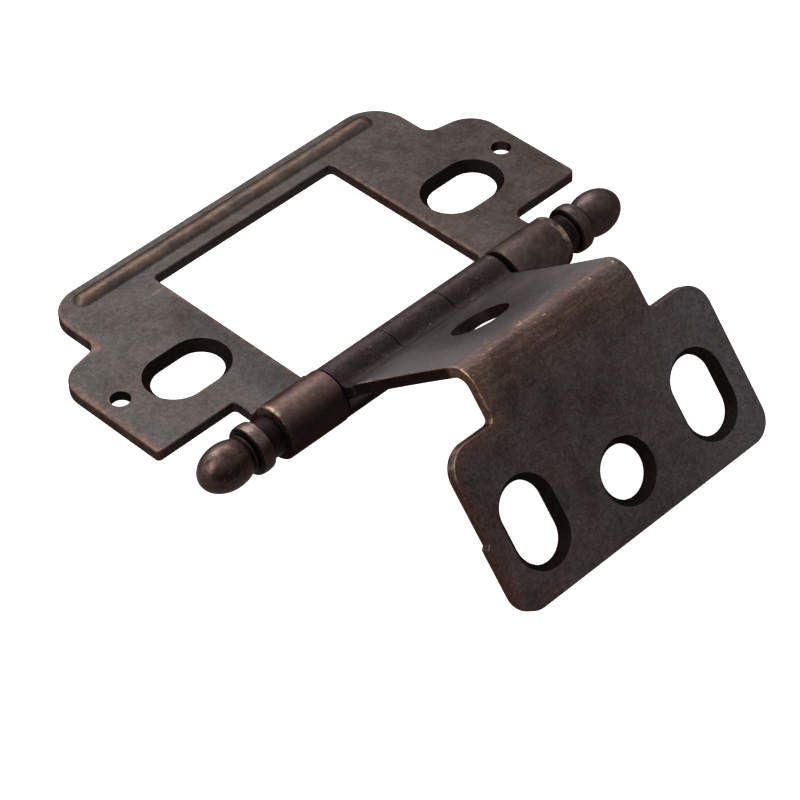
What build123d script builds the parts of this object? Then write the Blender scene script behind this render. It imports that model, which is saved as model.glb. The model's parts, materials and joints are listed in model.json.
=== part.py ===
"""Full inset cabinet hinge: a stamped frame leaf, a bent door leaf, a pin and two turned tips.

Millimetres. X runs along the barrel, Y from the barrel towards the frame leaf's far edge and
Z up out of that leaf's countersunk side. The pieces are drawn around the middle of the barrel's
axis, then moved so that the origin lies between the frame leaf's two screw slots, on the face
that meets the wood. The door leaf stands partly open, as it does in the picture.
"""
import os
from math import asin, cos, degrees, radians, sin, sqrt, tan

from build123d import *

# Sheet and barrel, which every fit below follows
sheet = 1.25
outer_knuckle_radius = 3.10
middle_knuckle_radius = 3.00
bore_radius = 1.80
pin_clearance = 0.04
seam_gap = 0.14
edge_round = 0.22

# The door this hinge wraps, and the play left around it
door_thickness = 19.05
door_play = 0.27
open_angle = 142.2

# Frame leaf
frame_leaf_top = 0.62
frame_waist_half = 24.97
frame_ear_standout = 6.28
frame_ear_near = 5.95
frame_ear_length = 15.80
shoulder_rise = 1.20
waist_length = 8.67
frame_corner_near = 4.2
frame_corner_far = 4.7
ear_far_radius = 3.9
ear_corner_near = 0.5
ear_corner_far = 0.9
slit_step_near = 0.10
slit_step_far = 0.05
slit_corner_near = 0.5
slit_corner_far = 1.3
waist_radius = 1.5
far_bar_width = 4.87
window_near_inset = 0.42
window_far_inset = 0.15
window_corner_radius = 0.6
outer_blend = 0.5
outer_root = 0.55
knuckle_rim_round = 0.20

# Screw holes shared by both leaves: an oval with a countersink for a flat head
screw_head_radius = 3.60
screw_shank_radius = 2.75
countersink_angle = 82.0

# Holes and bead of the frame leaf
frame_slot_inset = 4.39
frame_slot_y = 13.30
frame_slot_travel = 3.20
peg_hole_inset = 2.75
peg_hole_y = 14.87
peg_hole_radius = 1.15
bead_end_inset = 4.12
bead_inset = 2.12
bead_half_width = 1.10
bead_height = 0.55
bead_groove_half_width = 0.80
bead_groove_depth = 0.45
bead_foot_round = 0.45

# Door leaf: a narrow web, a square bend and a wide plate
web_top = 0.50
web_root = 4.35
web_root_far_half = 12.05
web_root_near_half = 12.15
neck_far_inset = 0.50
neck_near_inset = 0.65
bend_radius = 2.6
plate_far_half = 18.75
plate_near_half = 18.85
shear_step = 0.37
shear_step_drop = 15.8
shear_step_length = 0.35
ear_top = 5.97
plate_bottom = 24.40
plate_upper_radius = 3.0
plate_lower_radius = 2.8
neck_corner_radius = 0.7
door_slot_inset = 6.15
door_slot_drop = 16.66
door_slot_travel = 3.4
door_mouth_travel = 3.0
door_hole_drop = 18.30
door_hole_radius = 2.84
web_hole_reach = 12.24
web_hole_radius = 3.37

# Places along the barrel. The middle knuckles stand against the near end of their room.
near_barrel_end = -20.80
near_outer_length = 7.95
near_play = 0.13
near_joint = -4.20
far_joint = 4.00
far_knuckle_end = 12.26
far_play = 0.86
far_barrel_end = 21.10
shear_gap = 0.12
middle_blend = 1.2

# Turned tips, measured outwards from the knuckle's end
neck_radius = 2.20
neck_length = 2.00
collar_radius = 2.84
collar_length = 1.85
collar_round = 0.35
collar_crown = 0.05
ball_bead_radius = 2.15
bead_length = 0.45
ball_radius = 2.56
ball_place = 6.50
ball_inner_reach = 3.5
ball_outer_reach = 3.52
pin_standout = 2.6
press = 0.01

# Values that follow from the ones above
rise = 180.0 - open_angle
frame_ear_half = frame_waist_half + frame_ear_standout
frame_ear_shoulder = frame_ear_near + frame_ear_length
frame_waist_shoulder = frame_ear_shoulder + shoulder_rise
frame_far_edge = frame_waist_shoulder + waist_length
window_far_edge = frame_far_edge - far_bar_width
frame_slot_x = frame_waist_half - frame_slot_inset
peg_hole_x = frame_ear_half - peg_hole_inset
bead_half_length = frame_waist_half - bead_end_inset
bead_y = frame_far_edge - bead_inset
slit_end_near = -near_barrel_end - slit_step_near
slit_end_far = far_barrel_end - slit_step_far
near_outer_inside = near_barrel_end + near_outer_length
near_knuckle_end = near_outer_inside + near_play
far_outer_inside = far_knuckle_end + far_play
window_near_half = window_near_inset - near_outer_inside
window_far_half = far_outer_inside + window_far_inset
neck_far_half = web_root_far_half - neck_far_inset
neck_near_half = web_root_near_half - neck_near_inset
plate_near_upper_half = plate_near_half - shear_step
door_slot_x = (plate_far_half + plate_near_half) / 2 - door_slot_inset
outer_root_reach = outer_knuckle_radius + outer_root
frame_leaf_under = frame_leaf_top - sheet
web_under = web_top - sheet
plate_inner = outer_knuckle_radius + door_play + door_thickness
plate_outer = plate_inner + sheet
pin_radius = bore_radius - pin_clearance
countersink_depth = (screw_head_radius - screw_shank_radius) / tan(radians(countersink_angle / 2))

# The door leaf is drawn opened out flat, its web along -Y, and this plane stands it up.
lying_open = Plane(
    origin=(0, 0, 0),
    x_dir=(1, 0, 0),
    z_dir=(0, sin(radians(rise)), cos(radians(rise))),
)


def rounded(face, corners):
    """Round each listed corner of a flat outline with its own radius."""
    for x, y, radius in corners:
        corner = face.vertices().sort_by_distance(Vector(x, y, 0))[0]
        face = fillet([corner], radius)
    return face


def knuckle_section(radius, top, under, reach, blend):
    """The curl of one knuckle, seen along the barrel, with the root of its leaf and the seam.

    The first direction of the section runs out along the leaf and the second out of its top.
    """
    ring = Circle(radius)
    root = Pos(reach / 2, (top + under) / 2) * Rectangle(reach, top - under)
    curl = ring + root
    meet = sqrt(radius ** 2 - top ** 2)
    inside = curl.vertices().sort_by_distance(Vector(meet, top, 0))[0]
    curl = fillet([inside], blend)
    return curl - Circle(bore_radius) - seam(under)


def seam(under):
    """The thin slit where the end of the curled sheet meets the underside of its own leaf."""
    reach = 2.3 * outer_knuckle_radius
    return Pos(reach / 2, under - seam_gap / 2) * Rectangle(reach, seam_gap)


def knuckle(section, start, end, out):
    """One rolled knuckle between two places on the barrel, its leaf running out to +Y or -Y."""
    along = Plane(origin=(start if out > 0 else end, 0, 0), x_dir=(0, out, 0), z_dir=(out, 0, 0))
    return extrude(along * section, amount=end - start)


def oval(travel, radius, across):
    """An oval screw hole outline, lying across the leaf or along it."""
    shape = SlotCenterToCenter(travel, 2 * radius)
    return shape if across else Rot(0, 0, 90) * shape


def screw_oval(x, y, travel, mouth_travel, across):
    """The cutter of one countersunk oval, with its mouth at height zero."""
    place = Pos(x, y, 0)
    through = extrude(oval(travel, screw_shank_radius, across), amount=3 * sheet, both=True)
    mouth = extrude(oval(mouth_travel, screw_head_radius, across), amount=-countersink_depth,
                    taper=countersink_angle / 2)
    return place * (through + mouth)


def screw_hole(x, y, radius):
    """The cutter of one countersunk round hole, with its mouth at height zero."""
    through = Cylinder(radius, 6 * sheet)
    depth = (screw_head_radius - radius) / tan(radians(countersink_angle / 2))
    mouth = extrude(Circle(screw_head_radius), amount=-depth, taper=countersink_angle / 2)
    return Pos(x, y, 0) * (through + mouth)


def round_top_edges(solid, keep):
    """Soften the rim of a stamped piece on its good side, as the punch leaves it."""
    rim = [edge for edge in solid.edges() if keep(edge)]
    return fillet(rim, edge_round)


def frame_outline():
    """The flat shape of the frame leaf with its ears and window."""
    slit_ends = {-1: slit_end_near, 1: slit_end_far}
    halves = {side: [
        (side * slit_ends[side], 2.2),
        (side * slit_ends[side], frame_ear_near),
        (side * frame_ear_half, frame_ear_near),
        (side * frame_ear_half, frame_ear_shoulder),
        (side * frame_waist_half, frame_waist_shoulder),
        (side * frame_waist_half, frame_far_edge),
    ] for side in (-1, 1)}
    shape = make_face(Polyline(*halves[1], *reversed(halves[-1]), close=True))
    small = {-1: (slit_corner_near, ear_corner_near, frame_corner_near),
             1: (slit_corner_far, ear_corner_far, frame_corner_far)}
    corners = []
    for side in (-1, 1):
        slit_corner, ear_corner, end_corner = small[side]
        corners += [
            (side * slit_ends[side], frame_ear_near, slit_corner),
            (side * frame_ear_half, frame_ear_near, ear_corner),
            (side * frame_ear_half, frame_ear_shoulder, ear_far_radius),
            (side * frame_waist_half, frame_waist_shoulder, waist_radius),
            (side * frame_waist_half, frame_far_edge, end_corner),
        ]
    shape = rounded(shape, corners)
    sides = (-window_near_half, window_far_half)
    window = make_face(Polyline((sides[0], 0), (sides[0], window_far_edge),
                                (sides[1], window_far_edge), (sides[1], 0), close=True))
    window = rounded(window, [(side, window_far_edge, window_corner_radius) for side in sides])
    return shape - window


def bead(half_width, height, half_length):
    """A long round-ended ridge that stands above height zero, as a capsule cut by the sheet."""
    radius = (half_width ** 2 + height ** 2) / (2 * height)
    middle = height - radius
    bar = Rot(0, 90, 0) * Cylinder(radius, 2 * half_length)
    ends = [Pos(side * half_length, 0, 0) * Sphere(radius) for side in (-1, 1)]
    return Pos(0, 0, middle) * (bar + ends[0] + ends[1])


def frame_leaf():
    """The flat leaf that screws to the cabinet's frame, with its two outer knuckles."""
    leaf = extrude(frame_outline(), amount=-sheet)
    leaf = round_top_edges(leaf, lambda e: abs(e.center().Z) < 1e-4 and e.center().Y > 2.6)
    above = Pos(0, bead_y, frame_ear_half) * Box(*3 * [2 * frame_ear_half])
    leaf += Pos(0, bead_y, 0) * bead(bead_half_width, bead_height, bead_half_length) & above
    foot = [edge for edge in leaf.edges() if abs(edge.center().Z) < 1e-4
            and abs(abs(edge.center().Y - bead_y)) < bead_half_width + 0.01
            and abs(edge.center().X) < bead_half_length + bead_half_width + 0.01]
    leaf = fillet(foot, bead_foot_round)
    groove = bead(bead_groove_half_width, bead_groove_depth, bead_half_length)
    leaf -= Pos(0, bead_y, -sheet) * groove
    for side in (-1, 1):
        leaf -= screw_oval(side * frame_slot_x, frame_slot_y, frame_slot_travel, frame_slot_travel, True)
        leaf -= Pos(side * peg_hole_x, peg_hole_y, 0) * Cylinder(peg_hole_radius, 4 * sheet)
    leaf = Pos(0, 0, frame_leaf_top) * leaf
    section = knuckle_section(outer_knuckle_radius, frame_leaf_top, frame_leaf_under, outer_root_reach,
                              outer_blend)
    leaf += knuckle(section, far_outer_inside, far_barrel_end, 1)
    leaf += knuckle(section, near_barrel_end, near_outer_inside, 1)
    ends = (near_barrel_end, near_outer_inside, far_outer_inside, far_barrel_end)
    rims = [edge for edge in leaf.edges() if edge.geom_type == GeomType.CIRCLE
            and abs(edge.radius - outer_knuckle_radius) < 1e-4
            and min(abs(edge.position_at(0.5).X - end) for end in ends) < 1e-4]
    leaf = fillet(rims, knuckle_rim_round)
    return leaf - bore()


def web():
    """The narrow web between the barrel and the bend, waisted a little towards the bend."""
    end = plate_outer - bend_radius
    shape = make_face([
        Line((-web_root_near_half, -web_root), (web_root_far_half, -web_root)),
        TangentArc((neck_far_half, -end), (web_root_far_half, -web_root), tangent=(0, 1),
                   tangent_from_first=True),
        Line((neck_far_half, -end), (-neck_near_half, -end)),
        TangentArc((-neck_near_half, -end), (-web_root_near_half, -web_root), tangent=(0, 1),
                   tangent_from_first=True),
    ])
    return Pos(0, 0, web_top) * extrude(shape, amount=-sheet)


def bend():
    """The square bend from the web down into the plate."""
    centre = plate_outer - bend_radius
    quarter = make_face([
        CenterArc((centre, web_top - bend_radius), bend_radius, 0, 90),
        Line((centre, web_top), (centre, web_under)),
        CenterArc((centre, web_top - bend_radius), bend_radius - sheet, 0, 90),
        Line((plate_inner, web_top - bend_radius), (plate_outer, web_top - bend_radius)),
    ])
    along = Plane(origin=(neck_far_half, 0, 0), x_dir=(0, -1, 0), z_dir=(-1, 0, 0))
    return extrude(along * quarter, amount=neck_far_half + neck_near_half)


def plate():
    """The wide plate behind the door, with its ears and the small step its edge was sheared to."""
    top = web_top - bend_radius
    points = [
        (neck_far_half, top),
        (neck_far_half, -ear_top),
        (plate_far_half, -ear_top),
        (plate_far_half, -plate_bottom),
        (-plate_near_half, -plate_bottom),
        (-plate_near_half, -shear_step_drop - shear_step_length),
        (-plate_near_upper_half, -shear_step_drop),
        (-plate_near_upper_half, -ear_top),
        (-neck_near_half, -ear_top),
        (-neck_near_half, top),
    ]
    shape = rounded(make_face(Polyline(*points, close=True)), [
        (neck_far_half, -ear_top, neck_corner_radius),
        (plate_far_half, -ear_top, plate_upper_radius),
        (plate_far_half, -plate_bottom, plate_lower_radius),
        (-plate_near_half, -plate_bottom, plate_lower_radius),
        (-plate_near_upper_half, -ear_top, plate_upper_radius),
        (-neck_near_half, -ear_top, neck_corner_radius),
    ])
    face_on = Plane(origin=(0, -plate_outer, 0), x_dir=(1, 0, 0), z_dir=(0, -1, 0))
    return extrude(face_on * shape, amount=-sheet)


def is_outer_rim(edge):
    """True for an edge that bounds the good side of the bent leaf, other than at the barrel."""
    centre = edge.center()
    runs_across = edge.bounding_box().size.X > neck_near_half
    if runs_across and centre.Z > -plate_bottom + sheet:
        return False
    for at in (0.1, 0.5, 0.9):
        point = edge.position_at(at)
        out, drop = -point.Y, web_top - point.Z
        on_web = abs(drop) < 1e-3 and out < plate_outer - bend_radius + 1e-3
        on_plate = abs(out - plate_outer) < 1e-3 and drop > bend_radius - 1e-3
        turn = sqrt((out - plate_outer + bend_radius) ** 2 + (bend_radius - drop) ** 2)
        on_bend = abs(turn - bend_radius) < 1e-3 and out > plate_outer - bend_radius - 1e-3
        if not (on_web or on_plate or on_bend):
            return False
    return True


def door_leaf():
    """The bent leaf that wraps the door's edge, with its three middle knuckles.

    It is drawn as it lies when the hinge is opened out flat, then stood up at its opening angle.
    """
    leaf = web() + bend() + plate()
    leaf = round_top_edges(leaf, is_outer_rim)
    on_plate = Plane(origin=(0, -plate_outer, 0), x_dir=(1, 0, 0), z_dir=(0, -1, 0))
    for side in (-1, 1):
        leaf -= on_plate * screw_oval(side * door_slot_x, -door_slot_drop, door_slot_travel,
                                      door_mouth_travel, False)
    leaf -= on_plate * screw_hole(0, -door_hole_drop, door_hole_radius)
    leaf -= Pos(0, -web_hole_reach, 0) * Cylinder(web_hole_radius, 6)
    section = knuckle_section(middle_knuckle_radius, web_top, web_under, web_root + 0.05, middle_blend)
    half_gap = shear_gap / 2
    bare = Circle(middle_knuckle_radius) - Circle(bore_radius) - seam(web_under)
    ends = [(near_knuckle_end, near_joint - half_gap), (near_joint + half_gap, far_joint - half_gap),
            (far_joint + half_gap, web_root_far_half)]
    for start, end in ends:
        leaf += knuckle(section, start, end, -1)
    leaf += knuckle(bare, web_root_far_half, far_knuckle_end, -1)
    leaf -= bore()
    return lying_open * leaf


def bore():
    """The cutter that reams every knuckle to one bore."""
    return Rot(0, 90, 0) * Cylinder(bore_radius, 3 * far_barrel_end)


def hinge_pin():
    """The plain pin through all five knuckles, held by a tip at each end."""
    start = near_barrel_end - pin_standout
    end = far_barrel_end + pin_standout
    return Pos((start + end) / 2, 0, 0) * Rot(0, 90, 0) * Cylinder(pin_radius, end - start)


def tip_profile():
    """Half of a turned tip in section: neck, rounded collar, small bead and egg-shaped ball."""
    neck_end = neck_length
    collar_end = neck_end + collar_length
    ball_start = collar_end + bead_length
    inward = (ball_place - ball_start) / ball_inner_reach
    ball_start_radius = ball_radius * sqrt(1 - inward ** 2)
    bead_start_radius = ball_bead_radius - 0.45 * bead_length
    inner_rim = (neck_end, collar_radius - collar_round)
    crown_start = (neck_end + 1.4 * collar_round, collar_radius - collar_crown)
    crown_end = (collar_end - 1.3 * collar_round, collar_radius - collar_crown)
    outer_rim = (collar_end, collar_radius - collar_round)
    return [
        Line((0, 0), (0, neck_radius)),
        Line((0, neck_radius), (neck_end, neck_radius)),
        Line((neck_end, neck_radius), inner_rim),
        ThreePointArc(inner_rim, (neck_end + 0.42 * collar_round, collar_radius - 0.42 * collar_round),
                      crown_start),
        ThreePointArc(crown_start, (neck_end + 0.5 * collar_length, collar_radius), crown_end),
        ThreePointArc(crown_end, (collar_end - 0.38 * collar_round, collar_radius - 0.42 * collar_round),
                      outer_rim),
        Line(outer_rim, (collar_end, bead_start_radius)),
        ThreePointArc((collar_end, bead_start_radius), (collar_end + 0.45 * bead_length, ball_bead_radius),
                      (ball_start, ball_start_radius)),
        EllipticalCenterArc((ball_place, 0), ball_inner_reach, ball_radius, start_angle=90,
                            arc_size=degrees(asin(inward))),
        EllipticalCenterArc((ball_place, 0), ball_outer_reach, ball_radius, start_angle=0, arc_size=90),
        Line((0, 0), (ball_place + ball_outer_reach, 0)),
    ]


def tip():
    """A turned tip that stands on height zero of its own X, bored from there for the pin's end."""
    body = revolve(make_face(tip_profile()), Axis.X)
    blind = Rot(0, 90, 0) * Cylinder(pin_radius - press, 2 * pin_standout)
    return body - blind


def main():
    os.makedirs("parts", exist_ok=True)
    turned = tip()
    mounted = Pos(0, -frame_slot_y, -frame_leaf_under)
    pieces = {
        "frame_leaf": frame_leaf(),
        "door_leaf": door_leaf(),
        "hinge_pin": hinge_pin(),
        "far_tip": Pos(far_barrel_end, 0, 0) * turned,
        "near_tip": Pos(near_barrel_end, 0, 0) * mirror(turned, about=Plane.YZ),
    }
    for name, piece in pieces.items():
        export_step(mounted * piece, f"parts/{name}.step")


main()
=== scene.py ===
import json
import math

import bpy
from mathutils import Matrix, Vector

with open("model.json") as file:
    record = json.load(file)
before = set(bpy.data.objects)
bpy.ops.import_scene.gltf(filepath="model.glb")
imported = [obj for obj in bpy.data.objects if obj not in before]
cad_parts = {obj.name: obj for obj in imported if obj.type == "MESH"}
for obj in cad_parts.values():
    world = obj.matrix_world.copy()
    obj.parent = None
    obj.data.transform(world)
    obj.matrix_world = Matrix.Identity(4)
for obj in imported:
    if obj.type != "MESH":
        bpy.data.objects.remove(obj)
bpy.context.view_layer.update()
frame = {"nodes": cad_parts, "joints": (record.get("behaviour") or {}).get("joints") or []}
nodes = frame["nodes"]
swing = frame["joints"][0]


# Frame leaf: the flat leaf that screws to the cabinet, stamped from steel sheet and plated in aged
# bronze. Its pressed bead stands proud, so tumbling rubbed the crest to copper, and its two outer
# knuckles are rolled from the sheet. The walls of its slots and nail holes stay dark.

class Field:
    """A number, colour or direction that changes over a surface, worked out by shader nodes.

    Numbers are added, subtracted, multiplied and divided like plain ones.
    """

    def __init__(self, socket):
        self.socket = socket
        self.tree = socket.id_data

    def math(self, operation, *values):
        node = self.tree.nodes.new("ShaderNodeMath")
        node.operation = operation
        for socket, value in zip(node.inputs, values):
            plug(socket, value)
        return Field(node.outputs[0])

    def __add__(self, other):
        return self.math("ADD", self, other)

    def __sub__(self, other):
        return self.math("SUBTRACT", self, other)

    def __rsub__(self, other):
        return self.math("SUBTRACT", other, self)

    def __mul__(self, other):
        return self.math("MULTIPLY", self, other)

    def __truediv__(self, other):
        return self.math("DIVIDE", self, other)

    def __abs__(self):
        return self.math("ABSOLUTE", self)


def plug(socket, value):
    """Joins a socket to a field, or writes a constant on it."""
    if isinstance(value, Field):
        socket.id_data.links.new(value.socket, socket)
    else:
        socket.default_value = value


def most(first, *others):
    """The largest of the fields, place by place."""
    for other in others:
        first = first.math("MAXIMUM", first, other)
    return first


def root(field):
    return field.math("SQRT", field)


def fade(field, nought, one):
    """Nought where the field is at the first value and one at the second, smooth between them."""
    node = field.tree.nodes.new("ShaderNodeMapRange")
    node.interpolation_type = "SMOOTHSTEP"
    plug(node.inputs["Value"], field)
    node.inputs["From Min"].default_value = nought
    node.inputs["From Max"].default_value = one
    return Field(node.outputs["Result"])


def vector_node(operation, first, second, answer="Vector"):
    node = first.tree.nodes.new("ShaderNodeVectorMath")
    node.operation = operation
    plug(node.inputs[0], first)
    plug(node.inputs[1], second)
    return Field(node.outputs[answer])


def dot(first, second):
    return vector_node("DOT_PRODUCT", first, second, "Value")


def parts(vector):
    """The x, y and z of a place or a direction."""
    split = vector.tree.nodes.new("ShaderNodeSeparateXYZ")
    plug(split.inputs[0], vector)
    return [Field(socket) for socket in split.outputs]


def blend(tree, amount, first, second):
    """The first colour where the amount is nought, the second where it is one."""
    node = tree.nodes.new("ShaderNodeMix")
    node.data_type = "RGBA"
    plug(node.inputs[0], amount)
    plug(node.inputs[6], first)
    plug(node.inputs[7], second)
    return Field(node.outputs[2])


def noise(where, scale, detail, roughness, distortion=0.0, answer="Fac"):
    node = where.tree.nodes.new("ShaderNodeTexNoise")
    plug(node.inputs["Vector"], where)
    plug(node.inputs["Scale"], scale)
    node.inputs["Detail"].default_value = detail
    node.inputs["Roughness"].default_value = roughness
    node.inputs["Distortion"].default_value = distortion
    return Field(node.outputs[answer])


def drawn_out(place, share):
    """A place squeezed along the barrel, so that a pattern on it is drawn out that way."""
    return vector_node("MULTIPLY", place, (share, 1, 1))


def new_group(name, numbers, result):
    """An empty effect that takes a place and the numbers, with its inputs and its result."""
    group = bpy.data.node_groups.new(name, "ShaderNodeTree")
    for number, usual in numbers.items():
        socket = group.interface.new_socket(number, in_out="INPUT", socket_type="NodeSocketFloat")
        socket.default_value = usual
    group.interface.new_socket("Where", in_out="INPUT", socket_type="NodeSocketVector")
    group.interface.new_socket(result, in_out="OUTPUT", socket_type="NodeSocketFloat")
    sources = group.nodes.new("NodeGroupInput").outputs
    given = {key: Field(sources[key]) for key in (*numbers, "Where")}
    return group, given, group.nodes.new("NodeGroupOutput").inputs[result]


def place_group(tree, group, where, **numbers):
    """Puts an effect into a material at a place, with the material's own numbers."""
    node = tree.nodes.new("ShaderNodeGroup")
    node.node_tree = group
    plug(node.inputs["Where"], where)
    for key, value in numbers.items():
        node.inputs[key].default_value = value
    return Field(node.outputs[0])


# The effect of rubbed edges: one where an outside edge is sharp, broken up so that the wear is
# patchy. It compares the true normal with the normal that a rounder edge would have.

rubbed_edges, given, result = new_group(
    "Rubbed edges", {"Radius": 0.0004, "Amount": 1.0, "Patch scale": 260.0}, "Worn")
rounder = rubbed_edges.nodes.new("ShaderNodeBevel")
rounder.samples = 6
plug(rounder.inputs["Radius"], given["Radius"])
true_facing = Field(rubbed_edges.nodes.new("ShaderNodeNewGeometry").outputs["Normal"])
sharp = fade(dot(Field(rounder.outputs["Normal"]), true_facing), 0.998, 0.90)
broken = fade(noise(given["Where"], given["Patch scale"], 3.0, 0.5), 0.36, 0.62)
plug(result, sharp * broken * given["Amount"])

# The effect of hairline scratches: one on thin bent lines, which come only here and there.

hairline_scratches, given, result = new_group(
    "Hairline scratches", {"Scale": 170.0, "Width": 0.006}, "Line")
line_wander = 0.004
bent = noise(given["Where"], 240.0, 2.0, 0.5, answer="Color")
shift = vector_node("MULTIPLY", bent, (line_wander, line_wander, line_wander))
cells = hairline_scratches.nodes.new("ShaderNodeTexVoronoi")
cells.feature = "DISTANCE_TO_EDGE"
plug(cells.inputs["Vector"], vector_node("ADD", given["Where"], shift))
plug(cells.inputs["Scale"], given["Scale"])
line = fade(Field(cells.outputs["Distance"]) / given["Width"], 1.6, 0.3)
plug(result, line * fade(noise(given["Where"], 420.0, 2.0, 0.5), 0.55, 0.64))


# The plating that every piece has: a dark brown grey with a fine grain, cloudy in two larger sizes,
# browner where it was worked, with copper where tumbling rubbed it through.

brown_tones = (0.034, 0.0250, 0.0225, 1), (0.076, 0.0585, 0.0525, 1)
red_tone = (0.066, 0.0330, 0.0260, 1)
copper_tone = (0.190, 0.1120, 0.0760, 1)
gold_tone = (0.330, 0.2350, 0.1700, 1)
pale_tone = (0.100, 0.0940, 0.0965, 1)
# The darkest tone serves for dirt and for painted shade
dirt_and_shade_tone = (0.007, 0.0053, 0.0050, 1)
facing_mirror, glancing_mirror = (0.46, 0.42, 0.41, 1), (1.0, 0.97, 0.97, 1)


def new_material(name):
    """An empty material with its tree and its principled shader."""
    material = bpy.data.materials.new(name)
    material.use_nodes = True
    tree = material.node_tree
    tree.nodes.clear()
    out = tree.nodes.new("ShaderNodeOutputMaterial")
    shader = tree.nodes.new("ShaderNodeBsdfPrincipled")
    tree.links.new(shader.outputs["BSDF"], out.inputs["Surface"])
    return material, tree, shader


def aged_bronze(name, tones, marks=None, grain=1.0, blotch_scale=1500.0, base_roughness=0.48,
                edge_radius=0.0005):
    """The plating for one node. marks gives that node's own places, from the place and facing.

    They are: brown, pale, red, gold and dirt_and_shade for how much of each colour there is,
    wear_and_highlight for extra copper, rim for how far edges are rubbed, scratched for how far
    hairlines show, and sheen for how strongly it mirrors at a low angle. Pale, gold and the extra
    copper carry painted highlights in places, and the darkest colour carries painted shade as well
    as dirt.
    how strongly it mirrors at a low angle.
    """
    material, tree, shader = new_material(name)
    coordinates = tree.nodes.new("ShaderNodeTexCoord")
    place = Field(coordinates.outputs["Object"])
    own = {"brown": 0.0, "pale": 0.0, "red": 0.0, "gold": 0.0, "dirt_and_shade": 0.0, "wear_and_highlight": 0.0,
           "rim": 1.0, "sheen": 0.0, "scratched": 0.30}
    if marks:
        own.update(marks(place, Field(coordinates.outputs["Normal"])))
    fine = noise(place, 5200.0, 3.0, 0.70)
    mottle = noise(place, blotch_scale, 4.0, 0.65)
    cloud = noise(place, 330.0, 5.0, 0.62, distortion=0.4)
    broad = noise(place, 95.0, 3.0, 0.55)

    clouds = fade(cloud, 0.28, 0.74)
    tone = blend(tree, clouds, *tones)
    tone = blend(tree, own["brown"], tone, blend(tree, clouds, *brown_tones))
    tone = blend(tree, own["pale"], tone, pale_tone)
    scratch = place_group(tree, hairline_scratches, place)
    tone = blend(tree, scratch * own["scratched"], tone, pale_tone)
    reddish = fade(broad, 0.46, 0.70) * fade(mottle, 0.40, 0.66) * 0.40
    tone = blend(tree, most(reddish, own["red"]), tone, red_tone)

    wear_and_highlight = place_group(tree, rubbed_edges, place, Radius=edge_radius, Amount=0.8)
    wear_and_highlight = most(wear_and_highlight * own["rim"], own["wear_and_highlight"])
    tone = blend(tree, wear_and_highlight, tone, copper_tone)
    tone = blend(tree, own["gold"], tone, gold_tone)

    # Hollows that ambient occlusion finds are darkened: patina that gathers there, and painted
    # shade
    hidden = tree.nodes.new("ShaderNodeAmbientOcclusion")
    hidden.samples = 8
    hidden.inputs["Distance"].default_value = 0.0022
    recess = fade(Field(hidden.outputs["AO"]), 0.80, 0.30) * 0.85
    dirt_and_shade = most(recess, own["dirt_and_shade"])
    tone = blend(tree, dirt_and_shade, tone, dirt_and_shade_tone)

    grains = fine * (1.3 * grain) + (1.0 - 0.65 * grain)
    blotches = mottle * (1.1 * grain) + (1.0 - 0.55 * grain)
    plug(shader.inputs["Base Color"], vector_node("MULTIPLY", tone, grains * blotches))

    shader.inputs["Metallic"].default_value = 1.0
    rough = cloud * 0.22 + (base_roughness - 0.11)
    plug(shader.inputs["Roughness"], rough - wear_and_highlight * 0.08 + dirt_and_shade * 0.25)
    plug(shader.inputs["Specular Tint"],
         blend(tree, own["sheen"], facing_mirror, glancing_mirror))
    bump = tree.nodes.new("ShaderNodeBump")
    bump.inputs["Strength"].default_value = 0.22
    bump.inputs["Distance"].default_value = 0.00005
    plug(bump.inputs["Height"], mottle * 1.4 + fine)
    tree.links.new(bump.outputs["Normal"], shader.inputs["Normal"])
    return material


def finish_node(name, material):
    piece = nodes[name]
    piece.data.materials.clear()
    piece.data.materials.append(material)


barrel_axis = Vector(swing["pos_m"])


def from_barrel_axis(place):
    """A place's distance along the barrel and its distance out from the barrel's axis."""
    x, y, z = parts(vector_node("SUBTRACT", place, barrel_axis))
    return x, root(y * y + z * z)


# An oval around each screw slot and the nail hole next to it
leaf_oval_middle = 0.0218
leaf_oval_half_length = 0.0084
leaf_oval_half_width = 0.0052

# How far beyond the middle of the slots the lines at the window's corners are scribed
scribed_line = 0.01138

grey_tones = (0.034, 0.0297, 0.0282, 1), (0.058, 0.0522, 0.0498, 1)


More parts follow.
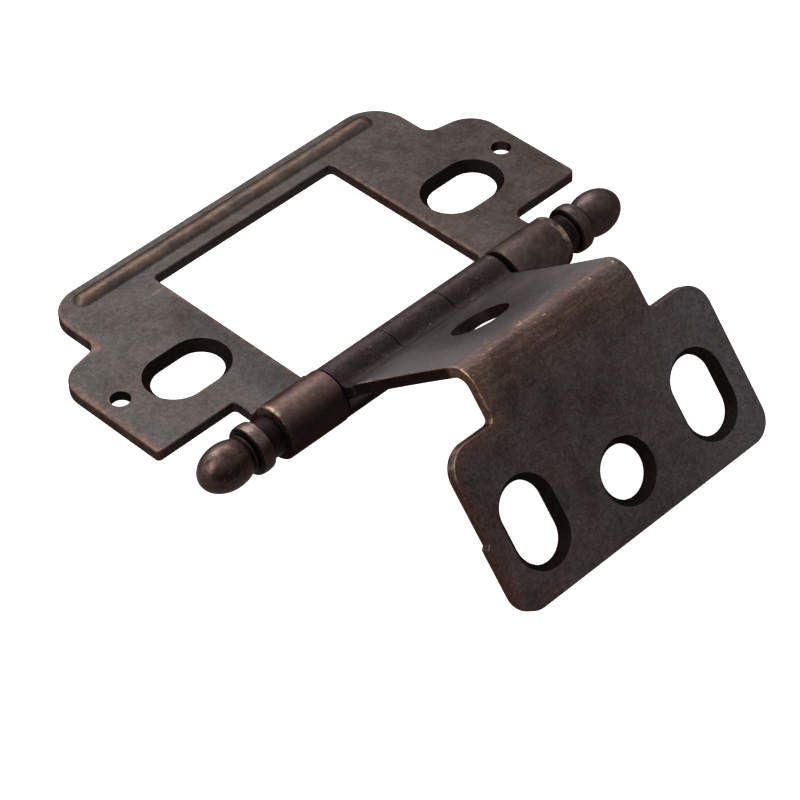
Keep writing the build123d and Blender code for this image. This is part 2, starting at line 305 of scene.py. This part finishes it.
def leaf_marks(place, facing):
    x, y, z = parts(place)
    up = parts(facing)[2]
    side = abs(x)
    along, out = from_barrel_axis(place)
    patches = fade(noise(place, 800.0, 3.0, 0.6), 0.38, 0.60)
    streaks = fade(noise(drawn_out(place, 0.45), 620.0, 3.0, 0.5), 0.22, 0.62)

    sideways = (side - leaf_oval_middle) / leaf_oval_half_length
    lengthways = y / leaf_oval_half_width
    off_holes = fade(sideways * sideways + lengthways * lengthways, 0.93, 1.05)
    barrel = fade(out, 0.0037, 0.0031)
    flat = 1.0 - barrel
    barrel_end = barrel * fade(abs(along), 0.0201, 0.0206)
    near_knuckle = barrel * fade(along, 0.0, -0.001)

    # Rubbed to copper: the bead's crest, the near end, the arms beside the window and a short line
    # scribed at each of its corners. The rims of the barrel's ends are rubbed to gold.
    crest = fade(z, 0.00126, 0.00166) * fade(y, 0.0145, 0.0150) * streaks * 0.32
    near_end = most(fade(x, -0.0300, -0.0313), fade(x, -0.0238, -0.0250) * fade(y, 0.0085, 0.0095))
    arm = fade(side, 0.0141, 0.0133) * fade(y, 0.0118, 0.0112) * flat
    edge = most(near_end, arm * 0.7) * patches * 0.30
    near_half = fade(x, 0.001, -0.001) * 0.35 + 0.25
    scribed = (fade(abs(y - scribed_line), 0.00022, 0.00008) * fade(side, 0.0160, 0.0154)
               * fade(side, 0.0138, 0.0144) * fade(up, 0.8, 0.95) * patches * near_half)
    rim_end = barrel_end * fade(z, 0.0012, 0.0030) * patches * 0.80

    # Painted highlight: the top of the near knuckle, in pale patches. Painted light: a paler pool
    # on the top of the bar beyond the window
    knuckle_top = near_knuckle * fade(up, 0.80, 0.98) * (patches * 0.30 + 0.25)
    lighter = (flat * fade(y, 0.0095, 0.0120) * fade(z, 0.0010, 0.0007)
               * fade(x, -0.0180, -0.0080) * 0.28)

    # Dark: the walls of the holes and the sheet's outer walls. Painted shade: the lower half of the
    # near knuckle and the low sides of the barrel's ends, and soft painted shade on the near arm
    # and the far ear
    hole_wall = (1.0 - off_holes) * fade(abs(up), 0.95, 0.80) * 0.92
    outer_wall = flat * off_holes * fade(abs(up), 0.75, 0.40) * 0.50
    under_knuckle = near_knuckle * fade(up, 0.97, 0.45) * 0.68
    low_end = barrel_end * fade(z, 0.0016, 0.0004) * 0.80
    arm_shade = (fade(side, 0.0185, 0.0150) * fade(y, 0.0110, 0.0060) * flat
                 * fade(x, 0.002, -0.002) * 0.18)
    ear_shade = fade(x, 0.0150, 0.0210) * fade(y, 0.0140, 0.0080) * 0.16

    browner = fade(x, 0.004, 0.026) * fade(y, 0.0165, 0.0105) * 0.50
    return {
        "brown": most(near_knuckle * -0.5 + barrel, browner),
        "pale": most(lighter, knuckle_top),
        "red": most(near_knuckle * 0.52, most(near_end, arm) * 0.40),
        "gold": rim_end,
        "wear_and_highlight": most(crest, edge, scribed, knuckle_top * 0.25),
        "dirt_and_shade": most(hole_wall, outer_wall, under_knuckle, low_end, arm_shade, ear_shade),
        "rim": off_holes - barrel * 0.9,
    }


finish_node("frame_leaf",
            aged_bronze("Frame leaf bronze", grey_tones, leaf_marks, edge_radius=0.0004))


# Door leaf: stamped from the same sheet, with the three middle knuckles rolled from it, a narrow
# web, a square bend and a wide plate that screws to the door. The bend is browned and its near
# corner rubbed to gold, the root of the web and the sides of the sheet carry painted shade, and the
# web has a satin sheen.

plum_tones = (0.038, 0.0297, 0.0297, 1), (0.067, 0.0545, 0.0545, 1)
rise = math.radians(swing["range_deg"][1])
along_web = (0, -math.cos(rise), math.sin(rise))
across_web = (0, math.sin(rise), math.cos(rise))
web_top = 0.0005
web_hole_reach = 0.01224


def door_marks(place, facing):
    """Its places are told as if it lay opened out flat: out from the barrel and down its plate."""
    away = vector_node("SUBTRACT", place, barrel_axis)
    x = parts(away)[0]
    out = dot(away, along_web)
    up = dot(away, across_web)
    drop = web_top - up
    radius = from_barrel_axis(place)[1]
    side = abs(x)
    across = abs(parts(facing)[0])
    patches = fade(noise(place, 1200.0, 3.0, 0.6), 0.34, 0.60)
    streaks = fade(noise(drawn_out(place, 0.12), 1500.0, 4.0, 0.6), 0.42, 0.66)
    scratches = fade(noise(drawn_out(place, 0.25), 2600.0, 3.0, 0.6), 0.60, 0.72)
    rust = fade(noise(place, 210.0, 4.0, 0.6), 0.42, 0.62)

    # The parts of the leaf that the marks below keep to
    barrel = fade(radius, 0.0036, 0.0030)
    plate = fade(drop, 0.0016, 0.0040)
    off_plate = 1.0 - plate
    web = off_plate * (1.0 - barrel)
    ridge = fade(out, 0.0198, 0.0222) * fade(drop, 0.0080, 0.0012)
    plate_holes = (fade(side, 0.0180, 0.0176) * fade(drop, 0.0105, 0.0110)
                   * fade(drop, 0.0238, 0.0234))
    past_hole = out - web_hole_reach
    from_hole = root(past_hole * past_hole + x * x)
    web_hole = fade(from_hole, 0.0043, 0.0041) * fade(drop, 0.0024, 0.0020)
    cheek = fade(across, 0.55, 0.85) * (1.0 - barrel)

    # Rubbed to gold: the turned edge by the near neck and the ear's corner, and specks on the web
    neck = fade(x, -0.0108, -0.0114) * fade(drop, 0.0085, 0.0050) * fade(out, 0.0170, 0.0205)
    ear_corner = (fade(x, -0.0172, -0.0183) * fade(drop, 0.0105, 0.0080)
                  * fade(drop, 0.0058, 0.0066))
    turned = fade(across, 0.20, 0.45) * fade(across, 0.98, 0.80)
    specks = fade(noise(place, 1900.0, 2.0, 0.5), 0.69, 0.73) * fade(plate, 0.6, 0.2) * 0.55
    gold = most(specks, most(neck, ear_corner) * turned * patches * 0.85)

    # Rubbed to copper: the bend in streaks, its near corner and the web's near edge
    glow = (fade(x, -0.0088, -0.0114) * fade(out, 0.0185, 0.0215)
            * fade(drop, 0.0095, 0.0060) * fade(drop, 0.0002, 0.0020))
    web_edge = (fade(across, 0.98, 0.70) * fade(across, 0.20, 0.50) * fade(x, -0.006, -0.008)
                * fade(out, 0.0035, 0.0050) * fade(up, -0.0002, 0.0002) * 0.75)
    wear_and_highlight = most(neck * patches * 0.45, ridge * streaks * 0.26, web_edge, glow * patches * 0.22)

    # Dark: the walls of the plate's holes. Painted shade: the sides of the sheet, the crease at the
    # root of the web, the ground round its hole, the middle and far knuckles of the door leaf, the
    # underside by the near joint and the corner beside it
    hole_wall = plate_holes * fade(abs(dot(facing, along_web)), 0.95, 0.80) * 0.92
    web_root = (fade(out, 0.0006, 0.0023) * fade(out, 0.0052, 0.0036)
                * fade(up, -0.0002, 0.0003) * 0.62)
    by_hole = fade(from_hole, 0.0115, 0.0020) * off_plate * 0.50
    far_barrel = barrel * fade(x, -0.0095, -0.0040) * 0.16
    below = (fade(x, -0.0030, -0.0080) * fade(radius, 0.0060, 0.0045)
             * fade(parts(facing)[2], 0.30, -0.15) * 0.88)
    joint_corner = (fade(x, -0.0108, -0.0117) * fade(out, 0.0050, 0.0040)
                    * fade(radius, 0.0029, 0.0033) * 0.80)
    web_cheek = cheek * fade(out, 0.0212, 0.0200) * 0.86
    dirt_and_shade = most(hole_wall, web_root, by_hole, far_barrel, below, joint_corner, web_cheek,
                cheek * 0.18)

    # Red brown: the bend, the sides of the sheet, the plate's near edge and clouds on its near half
    red_ridge = ridge * (fade(x, 0.0115, 0.0030) * 0.26 + 0.12)
    red_edge = plate * fade(x, -0.0172, -0.0186) * fade(drop, 0.0080, 0.0100) * 0.70
    rusty = plate * fade(x, 0.0040, -0.0150) * rust * 0.34

    # Paler: the plate's far half, in fine scratches. Painted highlight: the near part of the web,
    # broken by fine scratches
    plate_far = (plate * fade(x, 0.000, 0.0165) * fade(drop, 0.0035, 0.0090)
                 * (scratches * 0.45 + 0.50))
    web_near = (web * fade(x, -0.0015, -0.0080) * fade(out, 0.0150, 0.0080)
                * (scratches * 0.40 + 0.25))

    return {
        "brown": ridge,
        "pale": most(plate_far, web_near),
        "red": most(red_ridge, cheek * 0.90, rusty, red_edge, glow * 0.55),
        "gold": gold,
        "wear_and_highlight": wear_and_highlight,
        "dirt_and_shade": dirt_and_shade,
        "rim": (1.0 - most(plate_holes, web_hole, barrel)) * 0.7,
        # The sheen is weaker round the web's hole, with the painted shade there
        "sheen": web * fade(across, 0.60, 0.30) * (1.0 - by_hole * 0.85),
        "scratched": plate * 0.45 + 0.15,
    }


finish_node("door_leaf", aged_bronze("Door leaf bronze", plum_tones, door_marks, grain=1.4,
                                     blotch_scale=2100.0, edge_radius=0.0003))


# Hinge pin: a plain steel rod through all five knuckles, held by the tips pressed on its ends. It
# shows only in the narrow gaps between the knuckles, and has the same plating, left plain.

finish_node("hinge_pin", aged_bronze("Pin bronze", brown_tones))


# Turned tips: a neck, a collar, a small bead and a ball, turned in one and pressed on each end of
# the pin, browner than the leaves. Highlights are painted on the tips where they face the left
# lamp, most on the near ball and the top of the near collar, and shade is painted on the sides
# away from it; the neck, the collar's flanks and the bead are darkened.

# The side of the tips that faces roughly toward the left lamp, where highlights are painted
highlight_side = Vector((-0.50, 0.08, 0.86)).normalized()


def tip_marks(place, facing):
    along = from_barrel_axis(place)[0]
    near = fade(along, 0.001, -0.001)
    reach = abs(along)
    lit = dot(facing, highlight_side)
    sideways, _, height = parts(facing)
    slant = abs(sideways)
    flecks = fade(noise(place, 3000.0, 2.0, 0.5), 0.60, 0.68)
    patches = fade(noise(place, 900.0, 5.0, 0.70), 0.40, 0.66)
    blotches = fade(noise(place, 420.0, 3.0, 0.6), 0.44, 0.56)

    neck = fade(reach, 0.0230, 0.0227)
    collar = fade(reach, 0.0226, 0.0229) * fade(reach, 0.0251, 0.0248)
    bead = fade(reach, 0.0246, 0.0248) * fade(reach, 0.0257, 0.0252)
    ball = fade(reach, 0.0256, 0.0264)

    # Painted highlight: patches on the side that faces the left lamp, and the top of the near
    # collar. Painted shade: the near collar's lower side, blotches on the near ball away from that
    # lamp, and a darkening that grows away from it, which also reddens. The collar's flanks are
    # darkened.
    spots = patches * fade(lit, 0.45, 0.97) * (near * 0.06 + 0.22)
    collar_top = collar * near * fade(height, 0.50, 0.85) * fade(slant, 0.60, 0.25)
    collar_low = collar * near * fade(height, 0.50, 0.15) * fade(height, -0.60, -0.20) * 0.55
    collar_flank = collar * fade(slant, 0.25, 0.65) * 0.97
    low_ball = near * ball * fade(lit, 0.80, 0.55) * fade(lit, 0.05, 0.30) * blotches * 0.80
    shaded = fade(lit, 0.88, 0.25) * 0.42 + 0.08
    return {
        "brown": near * 0.6 + 0.4,
        "pale": most(spots * near * 1.5, collar_top),
        "red": shaded * 0.8 + (near * 0.32 + 0.08),
        # Gold: a painted glint on the near ball where it faces the left lamp
        "gold": patches * fade(lit, 0.84, 0.99) * near * 0.18,
        "wear_and_highlight": most(spots * 0.55, flecks * neck * 0.40, collar_top * 0.25),
        "dirt_and_shade": most(neck * 0.88, collar_flank, bead * 0.75, shaded, low_ball, collar_low),
        "rim": 0.18,
        "sheen": near * 0.35 + 0.15,
    }


for name, title, tones in (("far_tip", "Far tip bronze", plum_tones),
                           ("near_tip", "Near tip bronze", brown_tones)):
    finish_node(name, aged_bronze(title, tones, tip_marks, grain=1.3, base_roughness=0.35))


# Table and backdrop: seamless white paper to the camera and a pale surface to the object, so that
# it is mirrored in the metal and carries the faint shadow. The table lies low, so that the plate of
# the fully opened door leaf shows, all but the last 0.3 mm above its lower edge.

table_height = -0.0235
table_half = 1.2
paper_tones = (0.79, 0.79, 0.785, 1), (0.81, 0.81, 0.81, 1)
mirrored_glow = 0.20
seen_glow = 0.70


def ray(tree, kind):
    return Field(tree.nodes.new("ShaderNodeLightPath").outputs[f"Is {kind} Ray"])


def seen_or_mirrored(tree):
    """One for the rays that show the background: straight, mirrored or through glass."""
    return most(ray(tree, "Camera"), ray(tree, "Glossy"), ray(tree, "Transmission"))


table_mesh = bpy.data.meshes.new("table")
table_mesh.from_pydata([(-table_half, -table_half, 0), (table_half, -table_half, 0),
                        (table_half, table_half, 0), (-table_half, table_half, 0)],
                       [], [(0, 1, 2, 3)])
table = bpy.data.objects.new("table", table_mesh)
table.location.z = table_height
bpy.context.scene.collection.objects.link(table)

paper, paper_tree, paper_shader = new_material("White paper")
on_paper = Field(paper_tree.nodes.new("ShaderNodeTexCoord").outputs["Object"])
plug(paper_shader.inputs["Base Color"],
     blend(paper_tree, noise(on_paper, 30.0, 2.0, 0.6), *paper_tones))
paper_shader.inputs["Roughness"].default_value = 0.8
plug(paper_shader.inputs["Emission Color"], (1, 1, 1, 1))
plug(paper_shader.inputs["Emission Strength"],
     ray(paper_tree, "Camera") * seen_glow + seen_or_mirrored(paper_tree) * mirrored_glow)
table.data.materials.append(paper)

# The world is white where it is seen, weaker as a light, and darker on the side that the front of
# the hinge mirrors.

room_light = 0.25
dark_side = Vector((-0.5, -0.85, 0.15)).normalized()
dark_side_loss = 0.65

world = bpy.data.worlds.new("Studio")
bpy.context.scene.world = world
world.use_nodes = True
sky = world.node_tree
sky.nodes.clear()
backdrop = sky.nodes.new("ShaderNodeBackground")
backdrop.inputs["Color"].default_value = (1, 1, 1, 1)
toward = dot(Field(sky.nodes.new("ShaderNodeTexCoord").outputs["Generated"]), dark_side)
mirrored = 1.0 - fade(toward, 0.10, 0.90) * dark_side_loss
shown = most(mirrored, ray(sky, "Camera"), ray(sky, "Transmission"))
plug(backdrop.inputs["Strength"], seen_or_mirrored(sky) * (shown - room_light) + room_light)
sky.links.new(backdrop.outputs[0], sky.nodes.new("ShaderNodeOutputWorld").inputs["Surface"])


# Lamps: one large soft box above and behind the frame leaf, and a weaker one from the left.

hinge_middle = Vector((0, -0.01, 0))


def soft_box(name, place, size, watts):
    """A square soft lamp that points at the middle of the hinge."""
    data = bpy.data.lights.new(name, "AREA")
    data.shape = "SQUARE"
    data.size = size
    data.energy = watts
    lamp = bpy.data.objects.new(name, data)
    lamp.location = place
    lamp.rotation_mode = "QUATERNION"
    aim = hinge_middle - Vector(place)
    lamp.rotation_quaternion = aim.to_track_quat("-Z", "Y")
    bpy.context.scene.collection.objects.link(lamp)


soft_box("back box", (0.16, 0.38, 0.40), size=0.36, watts=2.2)
soft_box("left box", (-0.36, 0.11, 0.47), size=0.30, watts=1.9)


# Camera: at the photograph's place and angle, both found by fitting the hinge's outlines to it.
# Its middle is the point of the picture that lies straight ahead of the lens.

picture_width = 800
focal_length_in_pixels = 3134.42
middle_x, middle_y = 403.794, 397.947
camera_place = Vector((-0.1716820, -0.1904512, 0.2209823))
camera_turn = Vector((2.1639840979, -0.9127913452, 0.3645067684))

picture_middle = (picture_width - 1) / 2
data = bpy.data.cameras.new("photo camera")
data.sensor_width = 36.0
data.lens = data.sensor_width * focal_length_in_pixels / picture_width
data.shift_x = (picture_middle - middle_x) / picture_width
data.shift_y = (middle_y - picture_middle) / picture_width
data.clip_start = 0.01
data.clip_end = 10
camera = bpy.data.objects.new("photo camera", data)
right, down, ahead = Matrix.Rotation(camera_turn.length, 3, camera_turn)
camera.matrix_world = Matrix((
    (right.x, -down.x, -ahead.x, camera_place.x),
    (right.y, -down.y, -ahead.y, camera_place.y),
    (right.z, -down.z, -ahead.z, camera_place.z),
    (0, 0, 0, 1),
))
bpy.context.scene.collection.objects.link(camera)
bpy.context.scene.camera = camera

bpy.context.scene.view_settings.view_transform = "Standard"
